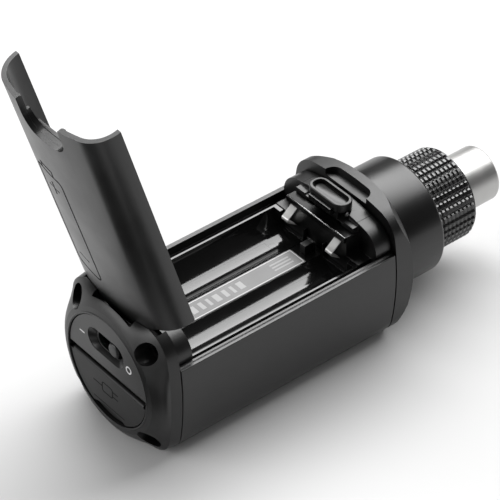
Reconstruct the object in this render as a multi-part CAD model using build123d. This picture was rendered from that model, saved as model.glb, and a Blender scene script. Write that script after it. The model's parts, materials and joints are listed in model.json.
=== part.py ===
"""Plug-on wireless transmitter with a hinged battery door.

Row frame: origin on the connector axis, in the front face of the locking ring.
+X points out of the connector nose, +Z up to the battery door side, millimetres.
The door is placed in its open position, which is the rest pose.
"""
import math
import os

from build123d import *

# ---- lengths along X -------------------------------------------------------
nose_length = 12.8          # plug nose in front of the locking ring
ring_length = 14.5
ring_gap = 0.5              # between the locking ring and the barrel
barrel_length = 14.8
collar_length = 6.0
tube_length = 69.8
cap_band = 3.1              # parallel band of the end cap
cap_dome = 4.4              # domed face of the end cap
cap_shoulder = 2.5          # from the crease to the dome's round shoulder
cap_lip = 0.35              # rounding of the dome's rim
cap_seat = 1.4              # wall under the cap's screw heads
seam = 0.3                  # shadow gap between castings and tube

# ---- radii and section -----------------------------------------------------
nose_r = 7.95
ring_r = 13.2
barrel_r = 16.7
key_slot = 4.5              # polarising slot in the nose's rim
body_half = 20.8            # half width of the body at mid height
body_bulge_r = 75.0         # gentle bulge of the four sides
body_corner_r = 8.0
body_floor = 20.3           # flat underside below the axis
tube_wall = 1.7
rail_top = 9.65             # top of the two rails beside the battery bay
rail_step = 0.3             # rebate along the rails' outer edges
rail_step_y = 19.3

# ---- battery door ----------------------------------------------------------
door_open = 106.6           # degrees between closed and the open stop
door_wall = 1.3
door_edge = 9.75            # height of the closed door's long edges
door_crown = 19.65
door_top_r = 60.0
door_corner_r = 8.0
door_corner_y = 12.1
tongue_reach = 4.2          # how far the hinge end reaches into the end cap
tongue_half = 15.0
notch_half = 8.0            # notch round the latch button
notch_depth = 9.1
hinge_back = 2.44           # hinge axis behind the cap seam
hinge_z = 18.32
pin_r = 0.6
knuckle_r = 1.5
ear_r = 1.15
knuckle_half = 7.65
ear_outer = 10.3
running_gap = 0.05
stop_gap = 0.15             # between the open door and the cap's lip
hinge_slot_half = 7.8       # slot in the dome below the open door
hinge_slot_x = 111.85       # how far back the slot reaches

# ---- battery bay -----------------------------------------------------------
cell_y = 8.7
cell_z = 10.1
trough_r = 7.45
tray_top = 8.3
tray_floor = 1.2
tray_half = 16.5
tray_end_wall = 1.2
ridge_top = 4.6
ridge_half = 3.6
bulkhead_depth = 5.0        # arch under the hinge end of the door
label_length = 46.0
label_width = 6.4
leaf_width = 2.5

# ---- latch -----------------------------------------------------------------
button_length = 13.8        # across the body
button_width = 5.7
button_top = 20.4
button_base = 18.15         # clears the arch beside the slide
moat_half = 7.7
button_travel = 1.6
cheek_depth = 5.0
latch_wall = 9.2            # depth of the latch housing from the collar
tongue_width = 8.6

# ---- end face --------------------------------------------------------------
panel_r = 15.6
panel_bore_r = 15.8
shoulder_r = 20.1           # dome radius at its shoulder
rim_r = 17.8                # dome radius behind the rounded rim
rim_face_r = 16.3
screw_y = 14.1
screw_z = 14.2
screw_head_r = 2.5
screw_shank_r = 1.2
switch_z = 7.4
switch_travel = 4.0
cover_bead_r = 0.65         # round living hinge along the port cover's top
cover_hinge_z = -2.4

# ---- underside controls ----------------------------------------------------
window_length = 26.0
window_width = 13.0
key_r = 2.2
key_travel = 0.5

# ---- stations along X ------------------------------------------------------
ring_front = 0.0
ring_rear = ring_front - ring_length
barrel_front = ring_rear - ring_gap
barrel_rear = barrel_front - barrel_length
collar_front = barrel_rear
collar_rear = collar_front - collar_length
tube_front = collar_rear - seam
tube_rear = tube_front - tube_length
cap_rear = tube_rear - seam
cap_crease = cap_rear - cap_band
cap_face = cap_crease - cap_dome
panel_face = cap_face + 0.2
hinge_x = cap_rear - hinge_back
bay_front = tube_front - latch_wall


# ---- helpers ---------------------------------------------------------------
def block(x0, x1, y0, y1, z0, z1):
    """Box between two corners."""
    size = (x1 - x0, y1 - y0, z1 - z0)
    centre = ((x0 + x1) / 2, (y0 + y1) / 2, (z0 + z1) / 2)
    return Pos(*centre) * Box(*size)


def rod_x(x0, x1, r, y=0.0, z=0.0):
    """Cylinder along X."""
    return Pos((x0 + x1) / 2, y, z) * Rot(0, 90, 0) * Cylinder(r, x1 - x0)


def rod_y(y0, y1, r, x=0.0, z=0.0):
    """Cylinder along Y."""
    return Pos(x, (y0 + y1) / 2, z) * Rot(90, 0, 0) * Cylinder(r, y1 - y0)


def rod_z(z0, z1, r, x=0.0, y=0.0):
    """Cylinder along Z."""
    return Pos(x, y, (z0 + z1) / 2) * Cylinder(r, z1 - z0)


def slab(face, x0, x1):
    """Extrude a profile drawn in (Y, Z) between two stations."""
    return extrude(Plane.YZ.offset(x0) * face, amount=x1 - x0)


def plate(face, z0, z1):
    """Extrude a plan drawn in (X, Y) between two heights."""
    return extrude(Plane.XY.offset(z0) * face, amount=z1 - z0)


def body_face(inset=0.0, flat=True, half=body_half):
    """Bulged square section of the body, with a flat underside."""
    h = half - inset
    r = body_bulge_r
    c = ((h - r) + math.sqrt(2 * r * r - (h - r) ** 2)) / 2
    sides = [
        ThreePointArc((c, -c), (h, 0), (c, c)),
        ThreePointArc((c, c), (0, h), (-c, c)),
        ThreePointArc((-c, c), (-h, 0), (-c, -c)),
        ThreePointArc((-c, -c), (0, -h), (c, -c)),
    ]
    face = make_face(sides)
    face = fillet(face.vertices(), max(body_corner_r - inset, 2.0))
    if flat:
        depth = body_floor - inset
        face -= Pos(0, -depth - 5) * Rectangle(4 * body_half, 10)
    return face


def arch_face(inset=0.0, edge=door_edge):
    """Arched section under the door's outer surface, cut off at a height."""
    corner = door_corner_r - inset
    top = door_top_r - inset
    tilt = math.asin(door_corner_y / (door_top_r - door_corner_r))
    centre_z = door_crown - door_top_r
    corner_z = centre_z + (door_top_r - door_corner_r) * math.cos(tilt)
    low = math.asin((edge - corner_z) / corner)
    high = math.pi / 2 - tilt
    mid = (low + high) / 2

    def on_corner(angle, side):
        y = door_corner_y + corner * math.cos(angle)
        return (side * y, corner_z + corner * math.sin(angle))

    outline = [
        ThreePointArc(on_corner(low, 1), on_corner(mid, 1), on_corner(high, 1)),
        ThreePointArc(on_corner(high, 1), (0, centre_z + top), on_corner(high, -1)),
        ThreePointArc(on_corner(high, -1), on_corner(mid, -1), on_corner(low, -1)),
        Line(on_corner(low, -1), on_corner(low, 1)),
    ]
    return make_face(outline)


def stadium(length, width):
    """Slot outline with its long side along the local X."""
    return SlotOverall(length, width)


def open_door(shape):
    """Turn a piece built on the closed door to the open rest pose."""
    axis = Axis((hinge_x, 0, hinge_z), (0, 1, 0))
    return shape.rotate(axis, -door_open)


def half_disc(radius, z_edge, upper):
    """Disc cut off by a horizontal line, drawn in (Y, Z)."""
    disc = Circle(radius)
    far = 2 * radius
    centre = z_edge + (far / 2 if upper else -far / 2)
    return disc & (Pos(0, centre) * Rectangle(2 * far, far))


# ---- main tube -------------------------------------------------------------
def tube_body():
    tube = slab(body_face(), tube_rear, tube_front)
    tube -= slab(body_face(tube_wall), tube_rear - 1, tube_front + 1)
    tube -= block(tube_rear - 1, tube_front + 1, -25, 25, rail_top, 25)
    for side in (-1, 1):
        y_in, y_out = sorted((side * rail_step_y, side * 25))
        tube -= block(tube_rear - 1, tube_front + 1, y_in, y_out, rail_top - rail_step, 25)
        y_in, y_out = sorted((side * 17.3, side * 19.4))
        tube += block(tube_rear, tube_front, y_in, y_out, 5.6, 6.8)
        y_in, y_out = sorted((side * 16.2, side * 19.6))
        tube += block(tube_rear, tube_front, y_in, y_out, -12.2, -11.0)
        boss = rod_x(tube_rear, tube_front, 3.2, side * screw_y, -screw_z)
        tube += boss & slab(body_face(0.5), tube_rear, tube_front)
        tube -= rod_x(tube_rear - 1, tube_front + 1, screw_shank_r + 0.1, side * screw_y, -screw_z)
    tube -= block(window_x0(), window_x0() + window_length, -window_width / 2, window_width / 2, -22, -17)
    for x in key_stations():
        tube -= rod_z(-22, -17, key_r + 0.25, x)
    tube -= rod_z(-22, -17, 1.0, led_x())
    return tube


def window_x0():
    return tube_rear + 12.0


def key_stations():
    first = window_x0() + window_length + 7.0
    return (first, first + 8.0)


def led_x():
    return window_x0() - 4.5


# ---- end cap ---------------------------------------------------------------
def ring_of_arcs(radius, face):
    """Circle split where the face's outline is split, for an even loft."""
    angles = sorted(math.atan2(v.Y, v.X) for v in face.vertices())
    arcs = []
    for i, start in enumerate(angles):
        end = angles[(i + 1) % len(angles)]
        if end <= start:
            end += 2 * math.pi
        mid = (start + end) / 2
        at = [(radius * math.cos(a), radius * math.sin(a)) for a in (start, mid, end)]
        arcs.append(ThreePointArc(*at))
    return make_face(arcs)


def cap_solid():
    crease = Plane.YZ.offset(cap_crease) * body_face(half=body_half - 0.4, flat=False)
    seam_face = Plane.YZ.offset(cap_rear) * body_face(flat=False)
    outline = body_face(half=body_half - 0.4, flat=False)
    shoulder = Plane.YZ.offset(cap_crease - cap_shoulder) * ring_of_arcs(shoulder_r, outline)
    rim = Plane.YZ.offset(cap_face + cap_lip) * ring_of_arcs(rim_r, outline)
    rim_face = Plane.YZ.offset(cap_face) * ring_of_arcs(rim_face_r, outline)
    dome = loft([rim, shoulder, crease])
    solid = loft([rim_face, rim], ruled=True) + dome + loft([crease, seam_face], ruled=True)
    return solid - block(cap_face - 1, cap_rear + 1, -25, 25, -30, -body_floor)


def end_cap():
    cap = cap_solid()
    cavity = slab(body_face(2.4), cap_crease - 0.2, cap_rear + 1)
    cavity &= block(cap_face, cap_rear + 1, -25, 25, -25, 14.4)
    cap -= cavity
    cap -= rod_x(cap_face - 1, cap_rear + 1, panel_bore_r)
    bosses = block(cap_crease - 1.4, cap_rear, -12.5, 12.5, 14.0, 17.0)
    for y, z in screw_places():
        bosses += rod_x(cap_crease - 0.2, cap_rear, 3.7, y, z)
    cap += (bosses - rod_x(cap_face - 1, cap_rear + 1, panel_bore_r)) & cap_solid()
    for y, z in screw_places():
        cap -= rod_x(cap_face - 1, cap_rear - cap_seat, screw_head_r + 0.4, y, z)
        cap -= rod_x(cap_face - 1, cap_rear + 1, screw_shank_r + 0.15, y, z)
    cap -= hinge_room()
    for side in (-1, 1):
        y0, y1 = sorted((side * (knuckle_half + 0.2), side * ear_outer))
        ear = rod_y(y0, y1, ear_r, hinge_x, hinge_z)
        ear += block(hinge_x - ear_r, hinge_x + ear_r, y0, y1, 15.4, hinge_z)
        cap += ear
    cap -= rod_y(-ear_outer - 1, ear_outer + 1, pin_r + running_gap, hinge_x, hinge_z)
    return cap


def hinge_room():
    """Space in the cap's top that the door's hinge end turns in."""
    knuckle_bay = rod_y(-knuckle_half - 0.15, knuckle_half + 0.15, 2.4, hinge_x, hinge_z)
    corners = rod_y(-14.7, 14.7, 3.35, hinge_x, hinge_z)
    corners &= block(hinge_x - 0.3, cap_rear + 1, -15, 15, 10, 25)
    leaning = open_door(slab(arch_face(-stop_gap), cap_rear - 5, cap_rear + 12))
    leaning &= block(cap_face, cap_rear + 1, -14.8, 14.8, hinge_z - 0.2, 25)
    slot = block(-hinge_slot_x, hinge_x, -hinge_slot_half, hinge_slot_half, hinge_z - 0.6, 25)
    slot = fillet(slot.edges().filter_by(Axis.Z).sort_by(Axis.X)[:2], 0.5)
    return knuckle_bay + corners + leaning + slot


def screw_places():
    """The cap's four corner screws in (Y, Z)."""
    return [(side_y * screw_y, side_z * screw_z) for side_y in (-1, 1) for side_z in (-1, 1)]


def cap_screws():
    screws = []
    for y, z in screw_places():
        seat = cap_rear - cap_seat
        head = rod_x(seat - 1.4, seat, screw_head_r, y, z)
        head -= rod_x(seat - 2, seat - 0.6, 1.1, y, z)
        reach = 4.0 if z > 0 else 8.0
        screws.append(head + rod_x(seat, tube_rear + reach, screw_shank_r, y, z))
    return Compound(children=screws)


# ---- end face --------------------------------------------------------------
def panel_base():
    base = rod_x(panel_face + 1.4, panel_face + 2.6, panel_r)
    base -= slab(Pos(0.2, switch_z) * stadium(10.0, 4.9), panel_face, panel_face + 4)
    base -= slab(Pos(0, -7.2) * stadium(9.3, 3.5), panel_face, panel_face + 4)
    return base


def control_panel():
    face = half_disc(panel_r, 0.1, True)
    panel = slab(face, panel_face, panel_face + 1.4)
    panel -= slab(Pos(0.4, switch_z) * stadium(14.6, 6.8), panel_face - 1, panel_face + 2)
    return panel


def power_switch():
    y = -1.8
    nub = rod_x(panel_face + 0.5, panel_face + 2.6, 2.1, y, switch_z)
    nub = fillet(nub.edges().filter_by(GeomType.CIRCLE).sort_by(Axis.X)[0], 0.7)
    carriage = block(panel_face + 2.75, panel_face + 3.9, y - 4.2, y + 4.2, switch_z - 2.9, switch_z + 2.9)
    neck = rod_x(panel_face + 2.5, panel_face + 2.8, 2.0, y, switch_z)
    return nub + neck + carriage


def port_cover():
    face = half_disc(panel_r - 0.1, cover_hinge_z, False)
    cover = slab(face, panel_face, panel_face + 2 * cover_bead_r)
    cover += rod_y(-14.4, 14.4, cover_bead_r, panel_face + cover_bead_r, cover_hinge_z)
    pull = rod_x(panel_face - 1, panel_face + 0.8, 18.0, 0, -31.0 + 0.2)
    cover -= pull
    return cover


def usb_receptacle():
    shell = slab(Pos(0, -7.2) * stadium(9.0, 3.2), panel_face + 1.7, panel_face + 8.2)
    shell -= slab(Pos(0, -7.2) * stadium(8.4, 2.6), panel_face + 1, panel_face + 7.6)
    tongue = block(panel_face + 2.4, panel_face + 7.8, -3.3, 3.3, -7.55, -6.85)
    return shell + tongue


def switch_board():
    board = rod_x(panel_face + 4.3, panel_face + 5.3, 12.0)
    board &= block(panel_face, cap_rear + 5, -11, 11, 3.2, 11.5)
    return board


# ---- battery door ----------------------------------------------------------
def door_plan():
    """Plan of the closed door: round tongue at the hinge, square free end."""
    x_side = tube_rear + 0.1
    x_tip = cap_rear - tongue_reach
    x_end = tube_front - 0.15
    wide = body_half + 1
    outline = [
        ThreePointArc((x_side, -tongue_half), (x_tip, 0), (x_side, tongue_half)),
        Polyline((x_side, tongue_half), (x_side, wide), (x_end, wide), (x_end, -wide),
                 (x_side, -wide), (x_side, -tongue_half)),
    ]
    return make_face(outline)


def notch_plan(extra=0.0, round_r=4.5):
    """Plan of the notch in the door's free end."""
    x_end = tube_front - 0.15
    x_in = x_end - notch_depth - extra
    half = notch_half + extra
    face = Pos((x_in + x_end + 6) / 2, 0) * Rectangle(x_end + 6 - x_in, 2 * half)
    corners = face.vertices().sort_by(Axis.X)[:2]
    return fillet(corners, round_r + extra)


def door_shell():
    skin = slab(arch_face(), cap_rear - 5, tube_front)
    skin -= slab(arch_face(door_wall, door_edge), cap_rear - 6, tube_front + 1)
    knuckle = rod_y(-knuckle_half, knuckle_half, knuckle_r, hinge_x, hinge_z)
    knuckle &= slab(arch_face(), cap_rear - 6, tube_front)
    door = (skin & plate(door_plan(), 9, 21)) + knuckle
    door -= plate(notch_plan(), 12, 21)
    for side in (-1, 1):
        y0, y1 = sorted((side * knuckle_half, side * (ear_outer + 0.3)))
        door -= block(cap_rear - 6, hinge_x + ear_r + 0.2, y0, y1, 12, 21)
    door -= rod_y(-ear_outer, ear_outer, pin_r + running_gap, hinge_x, hinge_z)
    return open_door(door)


def door_strike():
    """Rim round the notch, with the bar that the latch tongue holds."""
    split_x = tube_front - cheek_depth - 0.3
    rim = plate(notch_plan(0.9), 16.6, 21) - plate(notch_plan(0.02), 16, 22)
    shallow = slab(arch_face(door_wall + 0.02), split_x, tube_front - 0.4)
    shallow -= slab(arch_face(door_wall + 0.33), split_x - 1, tube_front)
    rim &= slab(arch_face(door_wall + 0.02), tube_rear, split_x) + shallow
    bar_x = tube_front - 0.15 - notch_depth
    bar = block(bar_x - 1.6, bar_x + 0.15, -7.0, 7.0, 16.0, 16.9)
    bar += block(bar_x - 1.6, bar_x - 0.7, -7.0, 7.0, 16.0, 19)
    bar &= slab(arch_face(door_wall + 0.02), tube_rear, tube_front)
    return open_door(rim + bar)


def hinge_pin():
    return rod_y(-ear_outer, ear_outer, pin_r, hinge_x, hinge_z)


# ---- battery bay -----------------------------------------------------------
def battery_tray():
    x0 = tube_rear + bulkhead_depth + 0.2
    x1 = bay_front - 0.1
    tray = block(x0, x1, -tray_half, tray_half, tray_floor, tray_top)
    for side in (-1, 1):
        tray -= rod_x(x0 - 1, x1 - tray_end_wall, trough_r, side * cell_y, cell_z)
        y0, y1 = sorted((side * (cell_y - 4.7), side * (cell_y + 4.7)))
        tray -= block(x1 - tray_end_wall - 1, x1 + 1, y0, y1, 4.2, 12)
        groove = side * (ridge_half - 0.15)
        tray -= block(x0 - 1, x1 + 1, groove - 0.1, groove + 0.1, ridge_top - 0.3, 12)
    tray -= block(x0 - 1, x1 + 1, -ridge_half, ridge_half, ridge_top, 12)
    return tray


def tray_label():
    x1 = bay_front - 6.4
    return block(x1 - label_length, x1, -label_width / 2, label_width / 2, ridge_top, ridge_top + 0.12)


def hinge_bulkhead():
    x0 = tube_rear + 0.3
    x1 = tube_rear + bulkhead_depth
    wall = slab(arch_face(door_wall + 0.4, tray_top + 0.1), x0, x1)
    wall += block(x0, x1, -17.9, 17.9, 7.0, tray_top + 0.3)
    wall += block(x0, x1, -16.9, 16.9, tray_floor, 7.0)
    wall -= block(x0 + 1.2, x1 - 1.2, -6.0, 6.0, 3.0, 15.0)
    for side in (-1, 1):
        wall -= rod_x(x0 - 1, x0 + 4.0, screw_shank_r + 0.1, side * screw_y, screw_z)
    return wall


def rear_contacts():
    """Bridge plate with two low spring coils for the cells' flat ends."""
    x0 = tube_rear + bulkhead_depth
    pieces = block(x0 + 0.02, x0 + 0.4, -13.0, 13.0, 7.6, 12.6)
    for side in (-1, 1):
        coil = rod_x(x0 + 0.4, x0 + 1.0, 3.2, side * cell_y, cell_z)
        coil += rod_x(x0 + 1.0, x0 + 1.7, 2.2, side * cell_y, cell_z)
        pieces += coil
    return pieces


# ---- latch -----------------------------------------------------------------
def button_station():
    return tube_front - 1.9 - button_width / 2


def latch_housing():
    x0 = bay_front
    x1 = tube_front - 0.05
    cheek_x = x1 - cheek_depth
    station = button_station()
    arch = slab(arch_face(door_wall + 0.4, tray_top + 0.1), cheek_x, x1)
    lower = block(x0, x1, -16.5, 16.5, tray_floor, tray_top + 0.3)
    lower += block(cheek_x, x1, -17.9, 17.9, 7.0, tray_top + 0.3)
    wall = block(x0, cheek_x + 0.1, -11.6, 11.6, tray_top, 14.2)
    wall += block(x0 + 2.3, cheek_x + 0.1, -11.3, 11.3, 14.0, 16.1)
    housing = arch + lower + wall
    moat_end = station + button_width / 2 - 1.0
    moat = block(x0 + 2.3, moat_end, -moat_half, moat_half, 15.6, 25)
    moat = fillet(moat.edges().filter_by(Axis.Z).sort_by(Axis.X)[-2:], 3.0)
    spring_room = block(station - 2.65, station + 4.25, -6.6, 6.6, 11.6, 15.2)
    stem_room = block(station - 2.65, station + 3.2, -4.75, 4.75, 11.6, 25)
    return housing - moat - spring_room - stem_room


def latch_button():
    x = button_station()
    outline = Pos(x, 0) * Rot(0, 0, 90) * RectangleRounded(button_length, button_width, 2.7)
    body = plate(outline, button_base, button_top)
    body = fillet(body.edges().group_by(Axis.Z)[-1], 0.35)
    dish = Pos(x, 0) * Rot(0, 0, 90) * RectangleRounded(button_length - 1.7, button_width - 1.7, 1.85)
    body -= plate(dish, button_top - 1.3, button_top + 1)
    stem = block(x - 1.5, x + 1.5, -4.6, 4.6, 12.1, button_base + 0.1)
    return body + stem


def latch_tongue():
    x = button_station() - button_width / 2
    tongue = block(x - 1.1, x + 1.9, -tongue_width / 2, tongue_width / 2, 17.0, button_base - 0.02)
    tongue += block(x - 1.1, x - 0.02, -tongue_width / 2, tongue_width / 2, 17.0, 19.0)
    tongue -= block(x + 1.3, x + 3, -tongue_width, tongue_width, 16, 19)
    return chamfer(tongue.edges().filter_by(Axis.Y).sort_by(Axis.X)[0], 0.3)


def latch_spring():
    """Two return springs beside the button's stem, as sleeves."""
    x = button_station() + 1.5
    springs = []
    for side in (-1, 1):
        coil = rod_x(x + 0.05, x + 2.65, 1.0, side * 2.6, 13.8)
        coil -= rod_x(x, x + 3, 0.6, side * 2.6, 13.8)
        springs.append(coil)
    return Compound(children=springs)


def retainer_plates():
    """Stepped metal plates in front of the latch."""
    low = block(bay_front - 0.75, bay_front - 0.05, -11.6, 11.6, 12.9, 14.2)
    low += block(bay_front - 0.75, bay_front + 2.2, -11.6, 11.6, 14.2, 14.6)
    return low


def contact_leaf(side):
    """Bent leaf contact for a cell's button end."""
    x = bay_front
    y = side * cell_y
    thick = 0.32
    outer = [(x - 0.05, 12.8), (x - 0.6, 12.7), (x - 3.5, 10.6), (x - 3.8, 10.0), (x - 3.5, 9.3),
             (x - 0.45, 6.4), (x - 0.05, 6.4)]
    inner = [(x - 0.05, 12.4), (x - 0.5, 12.3), (x - 3.2, 10.4), (x - 3.45, 10.0), (x - 3.2, 9.5),
             (x - 0.45, 6.9), (x - 0.05, 6.9)]
    strip = Polyline(*outer, *reversed(inner), close=True)
    leaf = extrude(Plane.XZ.offset(-(y + leaf_width / 2)) * make_face(strip), amount=leaf_width)
    return leaf + block(x - thick, x - 0.05, y - leaf_width / 2, y + leaf_width / 2, 6.4, 12.8)


def bay_divider():
    """Bracket between the two cells at the latch end."""
    x = bay_front
    post = block(x - 4.9, x - 1.8, -1.0, 1.0, ridge_top + 0.02, 7.4)
    post += block(x - 2.1, x - 1.8, -1.6, 1.6, ridge_top + 0.02, 7.7)
    return post


# ---- front end -------------------------------------------------------------
def front_collar():
    collar = slab(body_face(), collar_rear, collar_front)
    cone = Plane.XZ * make_face(Polyline(
        (collar_rear, 0), (collar_rear, 26.0), (collar_rear + 1.5, 25.4), (collar_front - 1.2, 22.6),
        (collar_front, 20.2), (collar_front, 0), close=True))
    collar &= revolve(cone, axis=Axis.X)
    collar -= slab(body_face(2.4) & (Pos(0, -6.2) * Rectangle(50, 32)), collar_rear - 1, collar_front - 2.4)
    collar -= rod_x(collar_rear - 1, collar_front + 1, 14.2)
    scallop = plate(Pos(collar_rear + 0.2, 0) * Rot(0, 0, 90) * RectangleRounded(16.0, 5.6, 2.7), 18.7, 22)
    collar -= scallop
    return collar


def barrel():
    shell = rod_x(barrel_rear + 0.02, barrel_front, barrel_r)
    shell = fillet(shell.edges().filter_by(GeomType.CIRCLE).sort_by(Axis.X)[-1], 1.0)
    shell += rod_x(collar_rear + 1.0, barrel_rear + 0.1, 14.1)
    shell -= rod_x(collar_rear, barrel_front - 2.5, 12.4)
    shell -= rod_x(collar_rear, barrel_front + 1, 7.75)
    return shell


def locking_ring():
    ring = rod_x(ring_rear, ring_front, ring_r)
    ends = ring.edges().filter_by(GeomType.CIRCLE)
    ring = chamfer(ends, 0.6)
    ring -= rod_x(ring_rear - 1, ring_front + 1, 7.75)
    return ring


def xlr_nose():
    nose = rod_x(ring_front, nose_length, nose_r)
    nose = fillet(nose.edges().filter_by(GeomType.CIRCLE).sort_by(Axis.X)[-1], 0.8)
    nose += rod_x(barrel_front - 4.0, ring_front, 7.7)
    nose -= rod_x(barrel_front - 5.0, nose_length + 1, 6.9)
    nose -= block(nose_length - key_slot, nose_length + 1, -1.6, 1.6, -10.0, -5.0)
    return nose


def xlr_positions():
    """Socket centres in (Y, Z), seen from the front."""
    radius = 4.2
    return [(radius * math.cos(a), radius * math.sin(a))
            for a in (math.radians(90), math.radians(215), math.radians(325))]


def xlr_insert():
    insert = rod_x(-8.0, nose_length - 0.9, 6.85)
    for y, z in xlr_positions():
        insert -= rod_x(-9, nose_length, 1.75, y, z)
    insert -= block(nose_length - key_slot, nose_length, -1.6, 1.6, -8.0, -6.2)
    return insert


def xlr_sockets():
    tubes = []
    for y, z in xlr_positions():
        tube = rod_x(-10.0, nose_length - 1.2, 1.7, y, z)
        tube -= rod_x(-2.0, nose_length, 1.2, y, z)
        tubes.append(tube)
    return Compound(children=tubes)


def nose_seal():
    seal = rod_x(ring_rear - 0.45, ring_rear - 0.05, 10.5)
    return seal - rod_x(ring_rear - 1, ring_rear + 1, 8.6)


# ---- inside ----------------------------------------------------------------
def main_board():
    x0 = tube_rear + 2.0
    x1 = tube_front - 3.0
    board = block(x0, x1, -16.0, 16.0, -10.9, -9.7)
    return board


def rf_shield():
    x1 = tube_front - 8.0
    can = block(x1 - 22.0, x1, -10.0, 10.0, -9.65, -6.0)
    return can - block(x1 - 21.7, x1 - 0.3, -9.7, 9.7, -10, -6.3)


def processor():
    x0 = tube_rear + 14.0
    return block(x0, x0 + 9.0, -4.5, 4.5, -9.65, -8.6)


def display_module():
    x0 = window_x0() + 1.0
    return block(x0, x0 + window_length - 2.0, -6.6, 6.6, -16.6, -14.4)


def display_window():
    half = window_width / 2 - 0.1
    x0 = window_x0() + 0.1
    pane = block(x0, x0 + window_length - 0.2, -half, half, -body_floor + 0.25, -body_floor + 1.6)
    return pane


def menu_key(x):
    key = rod_z(-body_floor + 0.75, -17.2, key_r, x)
    key += rod_z(-18.3, -17.2, key_r + 1.0, x)
    return key


def status_lens():
    return rod_z(-body_floor + 0.1, -17.0, 0.9, led_x())


# ---- assembly --------------------------------------------------------------
def build():
    parts = {
        "tube_body": tube_body(),
        "end_cap": end_cap(),
        "cap_screws": cap_screws(),
        "panel_base": panel_base(),
        "control_panel": control_panel(),
        "power_switch": power_switch(),
        "port_cover": port_cover(),
        "usb_receptacle": usb_receptacle(),
        "switch_board": switch_board(),
        "door_shell": door_shell(),
        "door_strike": door_strike(),
        "hinge_pin": hinge_pin(),
        "battery_tray": battery_tray(),
        "tray_label": tray_label(),
        "hinge_bulkhead": hinge_bulkhead(),
        "rear_contacts": rear_contacts(),
        "latch_housing": latch_housing(),
        "latch_button": latch_button(),
        "latch_tongue": latch_tongue(),
        "latch_spring": latch_spring(),
        "retainer_plates": retainer_plates(),
        "contact_leaf_left": contact_leaf(1),
        "contact_leaf_right": contact_leaf(-1),
        "bay_divider": bay_divider(),
        "front_collar": front_collar(),
        "barrel": barrel(),
        "locking_ring": locking_ring(),
        "xlr_nose": xlr_nose(),
        "xlr_insert": xlr_insert(),
        "xlr_sockets": xlr_sockets(),
        "nose_seal": nose_seal(),
        "main_board": main_board(),
        "rf_shield": rf_shield(),
        "processor": processor(),
        "display_module": display_module(),
        "display_window": display_window(),
        "status_lens": status_lens(),
    }
    for name, x in zip(("menu_key", "set_key"), key_stations()):
        parts[name] = menu_key(x)
    return parts


os.makedirs("parts", exist_ok=True)
for node, shape in build().items():
    export_step(shape, f"parts/{node}.step")
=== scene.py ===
import json
import math

import bmesh
import bpy
from mathutils import Matrix, Vector


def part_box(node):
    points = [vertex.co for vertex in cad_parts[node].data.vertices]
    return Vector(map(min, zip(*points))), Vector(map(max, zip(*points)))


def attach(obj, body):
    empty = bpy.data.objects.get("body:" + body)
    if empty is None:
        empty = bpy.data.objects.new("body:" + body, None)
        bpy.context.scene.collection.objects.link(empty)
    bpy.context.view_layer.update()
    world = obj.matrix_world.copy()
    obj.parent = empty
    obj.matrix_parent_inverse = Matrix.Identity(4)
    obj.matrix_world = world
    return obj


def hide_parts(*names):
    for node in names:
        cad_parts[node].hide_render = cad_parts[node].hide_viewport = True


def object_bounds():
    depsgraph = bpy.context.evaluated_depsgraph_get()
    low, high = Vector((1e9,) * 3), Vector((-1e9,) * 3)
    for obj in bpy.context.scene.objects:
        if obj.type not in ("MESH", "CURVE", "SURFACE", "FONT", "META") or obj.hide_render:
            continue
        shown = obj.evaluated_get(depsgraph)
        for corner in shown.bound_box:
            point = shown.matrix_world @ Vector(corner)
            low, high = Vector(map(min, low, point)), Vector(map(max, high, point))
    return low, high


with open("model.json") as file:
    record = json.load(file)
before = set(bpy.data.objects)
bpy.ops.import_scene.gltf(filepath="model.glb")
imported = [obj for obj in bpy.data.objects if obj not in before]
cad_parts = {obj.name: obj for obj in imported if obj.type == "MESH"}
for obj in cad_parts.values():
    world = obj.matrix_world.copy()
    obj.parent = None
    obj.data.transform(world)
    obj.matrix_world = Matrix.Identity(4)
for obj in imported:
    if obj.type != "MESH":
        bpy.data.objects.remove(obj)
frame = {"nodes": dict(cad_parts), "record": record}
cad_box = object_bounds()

MM = 0.001
NODES = frame["nodes"]
FILL = 0.35                     # world light on rough surfaces
STUDIO = 0.05                   # world light in mirror reflections
BACKDROP = 0.92                 # world light straight into the camera


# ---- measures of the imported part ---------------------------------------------
def low(node):
    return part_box(node)[0]


def high(node):
    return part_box(node)[1]


FLOOR_Z = low("tube_body").z
RING_REAR = low("locking_ring").x
RING_FRONT = high("locking_ring").x
RING_R = high("locking_ring").z


# ---- materials ------------------------------------------------------------------
def new_material(name):
    mat = bpy.data.materials.new(name)
    mat.use_nodes = True
    tree = mat.node_tree
    shader = tree.nodes["Principled BSDF"]
    return mat, tree, shader


def add(tree, kind, **values):
    node = tree.nodes.new(kind)
    for key, value in values.items():
        if key in node.inputs:
            node.inputs[key].default_value = value
        else:
            setattr(node, key, value)
    return node


def coords(tree):
    return tree.nodes.new("ShaderNodeTexCoord").outputs["Object"]


def noise(tree, scale_mm, detail=3.0, rough=0.55):
    """Object-space noise whose features are about scale_mm across."""
    node = add(tree, "ShaderNodeTexNoise", Scale=1.0 / (scale_mm * MM), Detail=detail, Roughness=rough)
    tree.links.new(coords(tree), node.inputs["Vector"])
    return node.outputs["Fac"]


def remap(tree, source, low_to, high_to, low_from=0.3, high_from=0.7):
    node = add(tree, "ShaderNodeMapRange")
    node.inputs["From Min"].default_value = low_from
    node.inputs["From Max"].default_value = high_from
    node.inputs["To Min"].default_value = low_to
    node.inputs["To Max"].default_value = high_to
    tree.links.new(source, node.inputs["Value"])
    return node.outputs["Result"]


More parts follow.
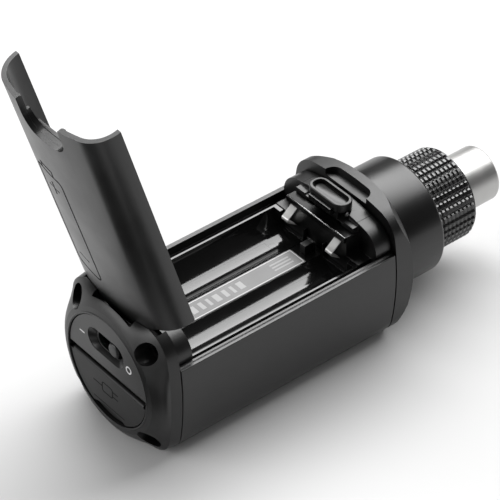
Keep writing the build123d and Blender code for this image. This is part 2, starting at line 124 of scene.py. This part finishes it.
def colour_mix(tree, factor, first, second):
    node = add(tree, "ShaderNodeMix", data_type="RGBA")
    tree.links.new(factor, node.inputs["Factor"])
    node.inputs["A"].default_value = (*first, 1.0)
    node.inputs["B"].default_value = (*second, 1.0)
    return node.outputs["Result"]


def bump(tree, shader, height, strength, distance_mm):
    node = add(tree, "ShaderNodeBump", Strength=strength, Distance=distance_mm * MM)
    tree.links.new(height, node.inputs["Height"])
    tree.links.new(node.outputs["Normal"], shader.inputs["Normal"])


def coated(name, dark, light, rough, grain_mm, grain_height, specular=0.5, metallic=0.0, coat=0.0):
    """A fine-grained finish: soft tone variation, roughness variation and grain bump."""
    mat, tree, shader = new_material(name)
    broad = noise(tree, 9.0, 2.0)
    fine = noise(tree, grain_mm, 4.0)
    tree.links.new(colour_mix(tree, remap(tree, broad, 0.0, 1.0), dark, light), shader.inputs["Base Color"])
    tree.links.new(remap(tree, broad, rough[0], rough[1]), shader.inputs["Roughness"])
    shader.inputs["Specular IOR Level"].default_value = specular
    shader.inputs["Metallic"].default_value = metallic
    if coat:
        shader.inputs["Coat Weight"].default_value = coat
        shader.inputs["Coat Roughness"].default_value = 0.15
    bump(tree, shader, fine, grain_height, 0.05)
    return mat


MATERIALS = {
    "black_anodised": coated("black_anodised", (0.004,) * 3, (0.006,) * 3, (0.28, 0.33), 0.22, 0.05),
    "cast_black": coated("cast_black", (0.004,) * 3, (0.006,) * 3, (0.36, 0.42), 0.30, 0.10),
    "moulded_black": coated("moulded_black", (0.004,) * 3, (0.006,) * 3, (0.30, 0.36), 0.25, 0.07),
    "bay_black": coated("bay_black", (0.004,) * 3, (0.006,) * 3, (0.07, 0.10), 0.5, 0.01),
    "rubber_black": coated("rubber_black", (0.008,) * 3, (0.011,) * 3, (0.48, 0.56), 0.35, 0.15, 0.45),
    "knurled_black": coated("knurled_black", (0.006,) * 3, (0.010,) * 3, (0.22, 0.30), 0.2, 0.08, 0.8),
    "satin_nickel": coated("satin_nickel", (0.43, 0.427, 0.42), (0.50, 0.496, 0.488), (0.38, 0.44), 0.2, 0.12,
                           metallic=1.0),
    "bright_contact": coated("bright_contact", (0.58, 0.58, 0.57), (0.86, 0.855, 0.84), (0.30, 0.44), 0.5,
                             0.35, metallic=0.5),
    "black_steel": coated("black_steel", (0.012,) * 3, (0.022,) * 3, (0.26, 0.36), 0.3, 0.12, metallic=0.9),
    "spring_steel": coated("spring_steel", (0.42, 0.42, 0.43), (0.5, 0.5, 0.51), (0.25, 0.35), 0.3, 0.1,
                           metallic=1.0),
    "gold_contact": coated("gold_contact", (0.80, 0.58, 0.24), (0.88, 0.66, 0.32), (0.2, 0.3), 0.3, 0.1,
                           metallic=1.0),
    "label_grey": coated("label_grey", (0.09,) * 3, (0.102,) * 3, (0.34, 0.42), 0.4, 0.04),
    "board_green": coated("board_green", (0.012, 0.06, 0.03), (0.016, 0.08, 0.04), (0.3, 0.4), 1.0, 0.1),
    "chip_black": coated("chip_black", (0.015,) * 3, (0.02,) * 3, (0.5, 0.6), 0.3, 0.2),
    "clear_window": coated("clear_window", (0.006,) * 3, (0.008,) * 3, (0.05, 0.09), 6.0, 0.02, coat=0.5),
    "display_dark": coated("display_dark", (0.008, 0.010, 0.009), (0.01, 0.013, 0.012), (0.1, 0.2), 2.0,
                           0.02),
    "lens_white": coated("lens_white", (0.6, 0.62, 0.6), (0.7, 0.72, 0.7), (0.25, 0.35), 0.6, 0.05),
}
LATCH_BLACK = coated("latch_black", (0.004,) * 3, (0.006,) * 3, (0.17, 0.22), 0.25, 0.04)
# Painted highlight: a light metallic grey on the latch button's rim and the plate's front edge stands in for
# the bright highlights along those black edges.
PAINTED_HIGHLIGHT = coated("painted_highlight_edge", (0.26,) * 3, (0.32,) * 3, (0.22, 0.30), 0.3, 0.05, metallic=1.0)
INK_LIGHT = coated("ink_light", (0.50,) * 3, (0.58,) * 3, (0.45, 0.55), 0.2, 0.05)
INK_GREY = coated("ink_grey", (0.26,) * 3, (0.30,) * 3, (0.4, 0.5), 0.2, 0.05)
ETCHED = coated("etched_mark", (0.0015,) * 3, (0.0025,) * 3, (0.6, 0.7), 0.15, 0.15, 0.15)


def slot_of(node):
    return next(r["material_slot"] for r in frame["record"]["subparts"] if r["node"] == node)


def dress(node, bevel_mm=0.12, segments=2):
    """Give a carried-over CAD node its material and slightly broken edges."""
    obj = NODES[node]
    obj.data.materials.clear()
    obj.data.materials.append(MATERIALS[slot_of(node)])
    if "custom_normal" in obj.data.attributes:
        obj.data.attributes.remove(obj.data.attributes["custom_normal"])
    obj.data.shade_smooth()
    if bevel_mm:
        weld = obj.modifiers.new("weld", "WELD")
        weld.merge_threshold = 0.002 * MM
        edge = obj.modifiers.new("edge", "BEVEL")
        edge.width = bevel_mm * MM
        edge.segments = segments
        edge.limit_method = "ANGLE"
        edge.angle_limit = math.radians(35)
        edge.harden_normals = True


# Edge rounding in millimetres where it isn't the usual 0.12. The end cap keeps the CAD's own edges.
BEVELS = {"retainer_plates": 0.16, "battery_tray": 0.14, "end_cap": 0.0, "tube_body": 0.16,
          "front_collar": 0.16, "barrel": 0.2, "latch_tongue": 0.2}
for name in NODES:
    dress(name, BEVELS.get(name, 0.12))
NODES["latch_tongue"].data.materials[0] = LATCH_BLACK


# ---- mesh helpers ----------------------------------------------------------------
def piece(name, verts, faces, material, body, smooth_deg=40.0):
    """A mesh in millimetres of the row frame, riding on a body."""
    mesh = bpy.data.meshes.new(name)
    mesh.from_pydata([tuple(c * MM for c in v) for v in verts], [], faces)
    bm = bmesh.new()
    bm.from_mesh(mesh)
    bmesh.ops.recalc_face_normals(bm, faces=bm.faces)
    bm.to_mesh(mesh)
    bm.free()
    mesh.materials.append(material)
    mesh.shade_smooth()
    mesh.set_sharp_from_angle(angle=math.radians(smooth_deg))
    obj = bpy.data.objects.new(name, mesh)
    bpy.context.scene.collection.objects.link(obj)
    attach(obj, body)
    return obj


def skin(loops, points, closed=True, start=0):
    """Quads between loops of points, numbered from start; closed joins the last loop to the first."""
    faces = []
    for j in range(loops if closed else loops - 1):
        a, b = start + j * points, start + (j + 1) % loops * points
        faces += [(a + k, a + (k + 1) % points, b + (k + 1) % points, b + k) for k in range(points)]
    return faces


def soften(obj, width_mm):
    """Small rounding on a piece's sharp edges."""
    edge = obj.modifiers.new("edge", "BEVEL")
    edge.width = width_mm * MM
    edge.segments = 2
    edge.limit_method = "ANGLE"
    edge.angle_limit = math.radians(35)
    edge.harden_normals = True


def stroke(points, width, closed=False):
    """Left and right edges of a line of even width, mitred at its corners."""
    n = len(points)
    left, right = [], []
    for i, (u, v) in enumerate(points):
        before = points[(i - 1) % n] if closed or i > 0 else None
        after = points[(i + 1) % n] if closed or i < n - 1 else None
        dirs = []
        if before is not None:
            dirs.append((Vector((u, v)) - Vector(before)).normalized())
        if after is not None:
            dirs.append((Vector(after) - Vector((u, v))).normalized())
        mean = sum(dirs, Vector((0.0, 0.0))).normalized()
        normal = Vector((-mean.y, mean.x))
        reach = width / 2 / max(normal.dot(Vector((-dirs[0].y, dirs[0].x))), 0.4)
        left.append((u + normal.x * reach, v + normal.y * reach))
        right.append((u - normal.x * reach, v - normal.y * reach))
    return left, right


def lines(name, strokes, surface, material, body, proud=0.02, sunk=0.05):
    """Raised lines on a surface. Each stroke is (points, width, closed); surface maps (u, v, height)."""
    verts, faces = [], []
    for points, width, closed in strokes:
        left, right = stroke(points, width, closed)
        start = len(verts)
        for (lu, lv), (ru, rv) in zip(left, right):
            verts += [surface(lu, lv, proud), surface(ru, rv, proud), surface(ru, rv, -sunk),
                      surface(lu, lv, -sunk)]
        faces += skin(len(points), 4, closed, start)
        if not closed:
            end = start + 4 * (len(points) - 1)
            faces += [(start, start + 1, start + 2, start + 3), (end, end + 3, end + 2, end + 1)]
    return piece(name, verts, faces, material, body)


def arc(cu, cv, r, a0, a1, steps=10):
    """Points along a circular arc, angles in degrees."""
    return [(cu + r * math.cos(math.radians(a0 + (a1 - a0) * i / steps)),
             cv + r * math.sin(math.radians(a0 + (a1 - a0) * i / steps))) for i in range(steps + 1)]


def round_box(u0, u1, v0, v1, r, steps=5):
    """Closed rounded rectangle."""
    return (arc(u1 - r, v1 - r, r, 0, 90, steps) + arc(u0 + r, v1 - r, r, 90, 180, steps)
            + arc(u0 + r, v0 + r, r, 180, 270, steps) + arc(u1 - r, v0 + r, r, 270, 360, steps))


def dense(points, step, closed=False):
    """Extra points along a line so that it follows a curved surface."""
    result = []
    ends = points + [points[0]] if closed else points
    for (u0, v0), (u1, v1) in zip(ends, ends[1:]):
        parts = max(1, math.ceil(math.hypot(u1 - u0, v1 - v0) / step))
        result += [(u0 + (u1 - u0) * i / parts, v0 + (v1 - v0) * i / parts) for i in range(parts)]
    return result if closed else result + [points[-1]]


# ---- surfaces that carry marks ----------------------------------------------------
PANEL_X_MM = low("control_panel").x / MM
COVER_X_MM = low("port_cover").x / MM
LABEL_LOW = low("tray_label") / MM
LABEL_HIGH = high("tray_label") / MM
HINGE = (low("hinge_pin") + high("hinge_pin")) / 2 / MM
DOOR_OPEN = math.radians(106.6)
DOOR_CROWN = 19.65              # height of the closed door's crown
DOOR_R = 60.0                   # radius of the door's outer surface
TROUGH_R = 7.45                 # battery troughs: radius and axis
TROUGH_Y = 8.7
TROUGH_Z = 10.1
ARCH_INSET = 1.7                # the latch's arch lies this far under the door's surface
SWITCH_Z = 7.4                  # middle of the power switch
DISH_Y = 0.4                    # middle of the dish round the switch
SWITCH_MARK_Z = 6.3             # height of the on and off marks
PORT_MARK_Z = -6.9
PANEL_BORE_R = 15.85            # round hole that holds the end face


def on_panel(y, z, height):
    return (PANEL_X_MM - height, y, z)


def on_cover(y, z, height):
    return (COVER_X_MM - height, y, z)


def on_label(x, y, height):
    return (x, y, LABEL_HIGH.z + height)


def on_door(along, y, height):
    """Outer surface of the open door: along is the distance from the hinge axis."""
    r = DOOR_R + height
    lean = math.asin(y / DOOR_R)
    px = along
    py = r * math.sin(lean)
    pz = DOOR_CROWN - DOOR_R + r * math.cos(lean) - HINGE.z
    c, s = math.cos(DOOR_OPEN), math.sin(DOOR_OPEN)
    return (HINGE.x + px * c - pz * s, py, HINGE.z + px * s + pz * c)


def on_trough(side):
    def place(x, turn, height):
        angle = math.radians(turn)
        r = TROUGH_R - height
        return (x, side * TROUGH_Y + r * math.sin(angle), TROUGH_Z - r * math.cos(angle))
    return place


def on_arch(x, y, height):
    r = DOOR_R - ARCH_INSET + height
    lean = math.asin(y / (DOOR_R - ARCH_INSET))
    return (x, r * math.sin(lean), DOOR_CROWN - DOOR_R + r * math.cos(lean))


# ---- printed and moulded marks ------------------------------------------------------
def face_marks():
    """On and off marks beside the switch, and a plug mark on the port cover."""
    bar = [([(9.2, SWITCH_MARK_Z), (11.2, SWITCH_MARK_Z)], 0.42, False)]
    ring = [(arc(-8.9, SWITCH_MARK_Z, 0.95, 0, 350, 23), 0.42, True)]
    lines("switch_marks", bar + ring, on_panel, INK_LIGHT, "body", 0.015)
    z = PORT_MARK_Z
    plug = [
        ([(6.3, z), (2.6, z)], 0.4, False),
        (round_box(-1.6, 2.6, z - 1.5, z + 1.5, 0.7), 0.4, True),
        ([(-1.6, z + 0.8), (-3.9, z + 0.8)], 0.4, False),
        ([(-1.6, z - 0.8), (-3.9, z - 0.8)], 0.4, False),
    ]
    pull = [(dense([(-6.4, -12.3), (6.4, -12.3)], 2.0), 0.28, False)]
    lines("port_marks", plug + pull, on_cover, ETCHED, "port_flap", 0.012)


def door_mark():
    """Battery outline with its two poles, moulded into the door."""
    start, end = 10.0, 47.0
    y0, y1 = 1.6, 12.6
    width, arm = 0.42, 2.2
    outline = dense(round_box(start, end, y0, y1, 1.6), 1.6, True)
    nub = dense([(end, 4.6), (end + 2.2, 4.6), (end + 2.2, 9.6), (end, 9.6)], 1.6)
    mid = (y0 + y1) / 2
    plus_at, minus_at = end - 5.6, start + 5.0
    plus = [[(plus_at - arm, mid), (plus_at + arm, mid)], [(plus_at, mid - arm), (plus_at, mid + arm)]]
    minus = [(minus_at, mid - arm), (minus_at, mid + arm)]
    strokes = [(outline, width, True)] + [(points, width, False) for points in (nub, *plus, minus)]
    lines("door_mark", strokes, on_door, ETCHED, "door", 0.05)


def label_marks():
    """Border and a run of plain bars on the tray label."""
    x0, x1 = LABEL_LOW.x + 0.35, LABEL_HIGH.x - 0.35
    y0, y1 = LABEL_LOW.y + 0.35, LABEL_HIGH.y - 0.35
    border = [(dense(round_box(x0, x1, y0, y1, 0.4), 4.0, True), 0.22, True)]
    lines("label_border", border, on_label, INK_LIGHT, "body", 0.01, 0.03)
    bars = []
    x = x0 + 3.0
    widths = (0.9, 1.7, 0.9, 1.7, 1.2, 0.9, 1.7, 1.2, 0.9, 1.7)
    for width in widths:
        bars.append(([(x + width / 2, -1.3), (x + width / 2, 1.5)], width, False))
        x += width + 1.3
    for row in (-1.0, 0.1, 1.2):
        bars.append(([(x1 - 8.2, row), (x1 - 2.0, row)], 0.5, False))
    lines("label_bars", bars, on_label, INK_GREY, "body", 0.012, 0.03)


def trough_marks():
    """Cell outlines moulded into the bottoms of the troughs."""
    x0 = LABEL_LOW.x + 4.0
    x1 = x0 + 40.0
    for side, name in ((1, "left"), (-1, "right")):
        cell = dense(round_box(x0, x1, -17.0, 17.0, 1.2), 2.0, True)
        nub = dense([(x1, -8.0), (x1 + 2.0, -8.0), (x1 + 2.0, 8.0), (x1, 8.0)], 2.0)
        lines(f"trough_mark_{name}", [(cell, 0.3, True), (nub, 0.3, False)], on_trough(side),
              MATERIALS["bay_black"], "body", 0.03)


def cheek_seams():
    """Hairline joints across the latch's arch."""
    x0, x1 = high("latch_housing").x / MM - 5.0, high("latch_housing").x / MM
    seams = [([(x0 + 0.05, side * 10.8), (x1 - 0.1, side * 10.8)], 0.14, False) for side in (-1, 1)]
    lines("cheek_seams", seams, on_arch, ETCHED, "body", 0.008)


# ---- locking ring -------------------------------------------------------------------
def knurled_ring():
    """Locking ring with a square knurl: deep grooves along the axis, shallow ones around it."""
    outer = RING_R / MM
    rear, front = RING_REAR / MM, RING_FRONT / MM
    bore = 7.75
    around, along = 38, 9
    deep, shallow = 0.5, 0.34
    edge = 0.9
    plain = outer - 0.42
    u_steps = (0.0, 0.26, 0.74)
    count = around * len(u_steps)

    def even(r):
        return [r] * count

    rings = [(rear, even(bore)), (rear, even(outer - 1.1)), (rear + 0.6, even(plain)),
             (rear + edge, even(plain))]
    span = (front - rear - 2 * edge) / along
    for j in range(along):
        for t, top in ((0.0, outer - shallow), (0.24, outer), (0.76, outer)):
            row = [top if k % len(u_steps) else outer - deep for k in range(count)]
            rings.append((rear + edge + (j + t) * span, row))
    rings += [(front - edge, [outer - (shallow if k % len(u_steps) else deep) for k in range(count)]),
              (front - edge + 0.05, even(plain)), (front - 0.6, even(plain)), (front, even(outer - 1.15)),
              (front, even(bore))]
    verts = []
    for x, row in rings:
        for k, r in enumerate(row):
            a = 2 * math.pi * (k // len(u_steps) + u_steps[k % len(u_steps)]) / around
            verts.append((x, r * math.cos(a), r * math.sin(a)))
    ring = piece("knurled_ring", verts, skin(len(rings), count), MATERIALS["knurled_black"],
                 "lock_ring", 25.0)
    soften(ring, 0.06)
    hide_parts("locking_ring")


# ---- end face rim -------------------------------------------------------------------
def face_rim():
    """Rounded bead that frames the end face."""
    x = low("end_cap").x / MM
    inner, outer, rise = PANEL_BORE_R, PANEL_BORE_R + 0.6, 0.16
    profile = [(x + 0.25, inner), (x - 0.04, inner + 0.04), (x - rise, inner + 0.2), (x - rise, outer - 0.2),
               (x - 0.04, outer - 0.02), (x + 0.25, outer + 0.1)]
    steps = 160
    verts = []
    for k in range(steps):
        a = 2 * math.pi * k / steps
        verts += [(px, r * math.cos(a), r * math.sin(a)) for px, r in profile]
    piece("face_rim", verts, skin(steps, len(profile)), MATERIALS["cast_black"], "body", 60.0)


def switch_dish():
    """Sloping dish between the panel's opening and the switch slot."""
    def stadium(length, width, x):
        r = width / 2
        right_end = arc(DISH_Y + length / 2 - r, SWITCH_Z, r, -90, 90, 12)
        left_end = arc(DISH_Y - length / 2 + r, SWITCH_Z, r, 90, 270, 12)
        return [(x, y, z) for y, z in right_end + left_end]

    x = PANEL_X_MM
    rows = [stadium(14.54, 6.74, x + 0.12), stadium(14.1, 6.5, x + 0.3), stadium(11.0, 5.5, x + 1.18),
            stadium(10.8, 5.3, x + 1.38), stadium(14.54, 6.74, x + 1.38)]
    verts = [v for row in rows for v in row]
    piece("switch_dish", verts, skin(len(rows), len(rows[0])), MATERIALS["moulded_black"],
          "body", 60.0)


# ---- latch trim ---------------------------------------------------------------------
def slab_rounded(name, outline, z0, z1, edge, material, body):
    """Flat pad with a softly rounded upper edge; outline is a closed plan in millimetres."""
    n = len(outline)
    cx = sum(u for u, v in outline) / n
    cy = sum(v for u, v in outline) / n
    half_u = max(abs(u - cx) for u, v in outline)
    half_v = max(abs(v - cy) for u, v in outline)
    levels = [(z0, 0.0), (z1 - edge, 0.0), (z1 - edge * 0.3, edge * 0.3), (z1, edge)]
    verts = []
    for z, inset in levels:
        keep_u, keep_v = 1 - inset / half_u, 1 - inset / half_v
        verts += [(cx + (u - cx) * keep_u, cy + (v - cy) * keep_v, z) for u, v in outline]
    faces = skin(len(levels), n, False)
    faces += [tuple(range(n)), tuple(range((len(levels) - 1) * n, len(levels) * n))]
    piece(name, verts, faces, material, body, 50.0)


def button_pad():
    """Raised pad in the latch button's dish."""
    lo, hi = low("latch_button") / MM, high("latch_button") / MM
    rim = 1.45
    outline = round_box(lo.x + rim, hi.x - rim, lo.y + rim, hi.y - rim, 1.3, 8)
    slab_rounded("button_pad", outline, hi.z - 1.32, hi.z - 0.95, 0.22, MATERIALS["moulded_black"],
                 "latch")


def button_rim():
    """Bead round the top of the latch button's wall, in a light grey that paints the rim's highlight."""
    lo, hi = low("latch_button") / MM, high("latch_button") / MM
    inset, r, round_steps = 0.43, 0.17, 8
    outline = round_box(lo.x + inset, hi.x - inset, lo.y + inset, hi.y - inset, 2.27, 10)
    n = len(outline)
    verts = []
    for k, (u, v) in enumerate(outline):
        (u0, v0), (u1, v1) = outline[k - 1], outline[(k + 1) % n]
        side = Vector((v1 - v0, u0 - u1)).normalized()
        for i in range(round_steps):
            a = 2 * math.pi * i / round_steps
            out = r * math.cos(a)
            verts.append((u + side.x * out, v + side.y * out, hi.z - r + r * math.sin(a)))
    piece("button_rim", verts, skin(n, round_steps), PAINTED_HIGHLIGHT, "latch", 60.0)


def plate_lip():
    """Rolled edge along the front of the retainer plate, in a light grey that paints the edge's highlight."""
    lo, hi = low("retainer_plates") / MM, high("retainer_plates") / MM
    r, steps = 0.24, 12
    x, z = lo.x + r, hi.z - r * 0.5
    y0, y1 = lo.y + 0.1, hi.y - 0.1
    ends = ((y0, 0.6), (y0 + 0.12, 1.0), (y1 - 0.12, 1.0), (y1, 0.6))
    verts = []
    for y, share in ends:
        for i in range(steps):
            a = 2 * math.pi * i / steps
            verts.append((x + share * r * math.cos(a), y, z + share * r * math.sin(a)))
    faces = skin(len(ends), steps, False)
    faces += [tuple(range(steps)), tuple(range((len(ends) - 1) * steps, len(ends) * steps))]
    piece("plate_lip", verts, faces, PAINTED_HIGHLIGHT, "body", 50.0)


# ---- battery contacts ---------------------------------------------------------------
def contact_strip(node, name):
    """Spring strip bent out of sheet: a long upper face, a tight nose and a return leg."""
    x = high(node).x / MM
    y = (low(node).y + high(node).y) / 2 / MM
    half = (high(node).y - low(node).y) / 2 / MM
    top = high(node).z / MM
    reach = x - low(node).x / MM
    path = [(x - 0.05, top - 0.35), (x - 0.45, top - 0.3)]
    path += [(x - 0.45 - (reach - 1.25) * t, top - 0.3 - 2.1 * t) for t in (0.25, 0.5, 0.75, 1.0)]
    nose_x, nose_z = x - reach + 0.95, top - 3.1
    path += [(nose_x - 0.72 * math.cos(math.radians(a)), nose_z + 0.72 * math.sin(math.radians(a)))
             for a in (50, 25, 0, -25, -50)]
    path += [(nose_x + 0.4, nose_z - 1.2), (x - 1.0, nose_z - 2.2), (x - 0.35, nose_z - 2.9)]
    thick = 0.13
    verts = []
    for i, (px, pz) in enumerate(path):
        before = path[max(i - 1, 0)]
        after = path[min(i + 1, len(path) - 1)]
        tangent = Vector((after[0] - before[0], after[1] - before[1])).normalized()
        nx, nz = -tangent.y * thick, tangent.x * thick
        narrow = half - (0.35 if i in (0, len(path) - 1) else 0.0)
        verts += [(px + nx, y - narrow, pz + nz), (px + nx, y + narrow, pz + nz),
                  (px - nx, y + narrow, pz - nz), (px - nx, y - narrow, pz - nz)]
    faces = skin(len(path), 4, False)
    end = 4 * (len(path) - 1)
    faces += [(0, 1, 2, 3), (end, end + 3, end + 2, end + 1)]
    strip = piece(name, verts, faces, MATERIALS["bright_contact"], "body", 50.0)
    soften(strip, 0.05)
    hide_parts(node)


face_marks()
door_mark()
label_marks()
trough_marks()
cheek_seams()
knurled_ring()
face_rim()
switch_dish()
button_pad()
button_rim()
plate_lip()
contact_strip("contact_leaf_left", "leaf_left")
contact_strip("contact_leaf_right", "leaf_right")


# ---- stage -----------------------------------------------------------------------
def camera():
    azimuth = math.radians(-39.208)
    elevation = math.radians(39.706)
    roll = math.radians(-0.129)
    target = Vector((-66.2, 0.0, 0.0)) * MM
    distance = 723.16 * MM
    slide_right = -1.16 * MM
    slide_up = 10.87 * MM
    back = Vector((math.sin(azimuth) * math.cos(elevation), -math.cos(azimuth) * math.cos(elevation),
                   math.sin(elevation)))
    right = Vector((math.cos(azimuth), math.sin(azimuth), 0.0))
    up = back.cross(right)
    right_rolled = right * math.cos(roll) + up * math.sin(roll)
    up_rolled = up * math.cos(roll) - right * math.sin(roll)
    data = bpy.data.cameras.new("camera")
    data.sensor_width = 36.0
    data.lens = 202.5
    data.clip_start = 0.05
    data.clip_end = 20.0
    obj = bpy.data.objects.new("camera", data)
    bpy.context.scene.collection.objects.link(obj)
    place = target + back * distance + right_rolled * slide_right + up_rolled * slide_up
    turn = Matrix((right_rolled, up_rolled, back)).transposed().to_4x4()
    obj.matrix_world = Matrix.Translation(place) @ turn
    bpy.context.scene.camera = obj


def floor():
    bm = bmesh.new()
    bmesh.ops.create_grid(bm, x_segments=8, y_segments=8, size=3.0)
    mesh = bpy.data.meshes.new("floor")
    bm.to_mesh(mesh)
    bm.free()
    obj = bpy.data.objects.new("floor", mesh)
    obj.location.z = FLOOR_Z
    bpy.context.scene.collection.objects.link(obj)
    mat, _, shader = new_material("floor_paper")
    shader.inputs["Base Color"].default_value = (0.58, 0.58, 0.58, 1.0)
    shader.inputs["Roughness"].default_value = 0.9
    shader.inputs["Specular IOR Level"].default_value = 0.1
    mesh.materials.append(mat)


def softbox(name, azimuth, elevation, distance, width, height, radiance):
    """Area light aimed at the object from an azimuth and elevation in degrees."""
    a = math.radians(azimuth)
    e = math.radians(elevation)
    back = Vector((math.sin(a) * math.cos(e), -math.cos(a) * math.cos(e), math.sin(e)))
    centre = (cad_box[0] + cad_box[1]) / 2
    data = bpy.data.lights.new(name, "AREA")
    data.shape = "RECTANGLE"
    data.size = width
    data.size_y = height
    data.energy = radiance * math.pi * width * height
    obj = bpy.data.objects.new(name, data)
    obj.location = centre + back * distance
    obj.rotation_mode = "QUATERNION"
    obj.rotation_quaternion = back.to_track_quat("Z", "Y")
    bpy.context.scene.collection.objects.link(obj)


def surroundings():
    """Pale backdrop for the camera, soft fill on surfaces, dark studio in reflections."""
    world = bpy.data.worlds.new("world")
    bpy.context.scene.world = world
    world.use_nodes = True
    tree = world.node_tree
    background = tree.nodes["Background"]
    path = tree.nodes.new("ShaderNodeLightPath")
    camera_part = add(tree, "ShaderNodeMath", operation="MULTIPLY")
    camera_part.inputs[1].default_value = BACKDROP - FILL
    glossy_part = add(tree, "ShaderNodeMath", operation="MULTIPLY_ADD")
    glossy_part.inputs[1].default_value = STUDIO - FILL
    total = add(tree, "ShaderNodeMath", operation="ADD")
    total.inputs[1].default_value = FILL
    tree.links.new(path.outputs["Is Camera Ray"], camera_part.inputs[0])
    tree.links.new(path.outputs["Is Glossy Ray"], glossy_part.inputs[0])
    tree.links.new(camera_part.outputs[0], glossy_part.inputs[2])
    tree.links.new(glossy_part.outputs[0], total.inputs[0])
    tree.links.new(total.outputs[0], background.inputs["Strength"])
    background.inputs["Color"].default_value = (1.0, 1.0, 1.0, 1.0)


def lights():
    surroundings()
    softbox("key", azimuth=124.0, elevation=50.0, distance=1.6, width=2.6, height=0.86, radiance=9.0)
    softbox("left_back", azimuth=-114.0, elevation=20.0, distance=1.5, width=1.3, height=0.7, radiance=4.2)


def shadow_card(name, x0, x1, y0, y1):
    """Black card lying on the floor, seen only in reflections: a painted shadow that darkens the floor where
    the object's shadow falls; its sides are in millimetres.
    """
    corners = ((x0, y0), (x1, y0), (x1, y1), (x0, y1))
    verts = [(x * MM, y * MM, 0.0) for x, y in corners]
    mesh = bpy.data.meshes.new(name)
    mesh.from_pydata(verts, [], [(0, 1, 2, 3)])
    obj = bpy.data.objects.new(name, mesh)
    obj.location.z = FLOOR_Z + 0.5 * MM
    bpy.context.scene.collection.objects.link(obj)
    mat, _, shader = new_material(name)
    shader.inputs["Base Color"].default_value = (0.01, 0.01, 0.01, 1.0)
    shader.inputs["Roughness"].default_value = 0.9
    shader.inputs["Specular IOR Level"].default_value = 0.0
    mesh.materials.append(mat)
    obj.visible_camera = False
    obj.visible_diffuse = False
    obj.visible_shadow = False


camera()
floor()
lights()
# Painted shadow: dark cards left and in front of the end cap darken what the door and end cap reflect, where
# the object's shadow lies on the floor.
shadow_card("shadow_card_left", x0=-205.0, x1=-133.0, y0=-60.0, y1=22.0)
shadow_card("shadow_card_front", x0=-150.0, x1=-104.0, y0=-100.0, y1=-42.0)

scene = bpy.context.scene
scene.view_settings.view_transform = "Standard"
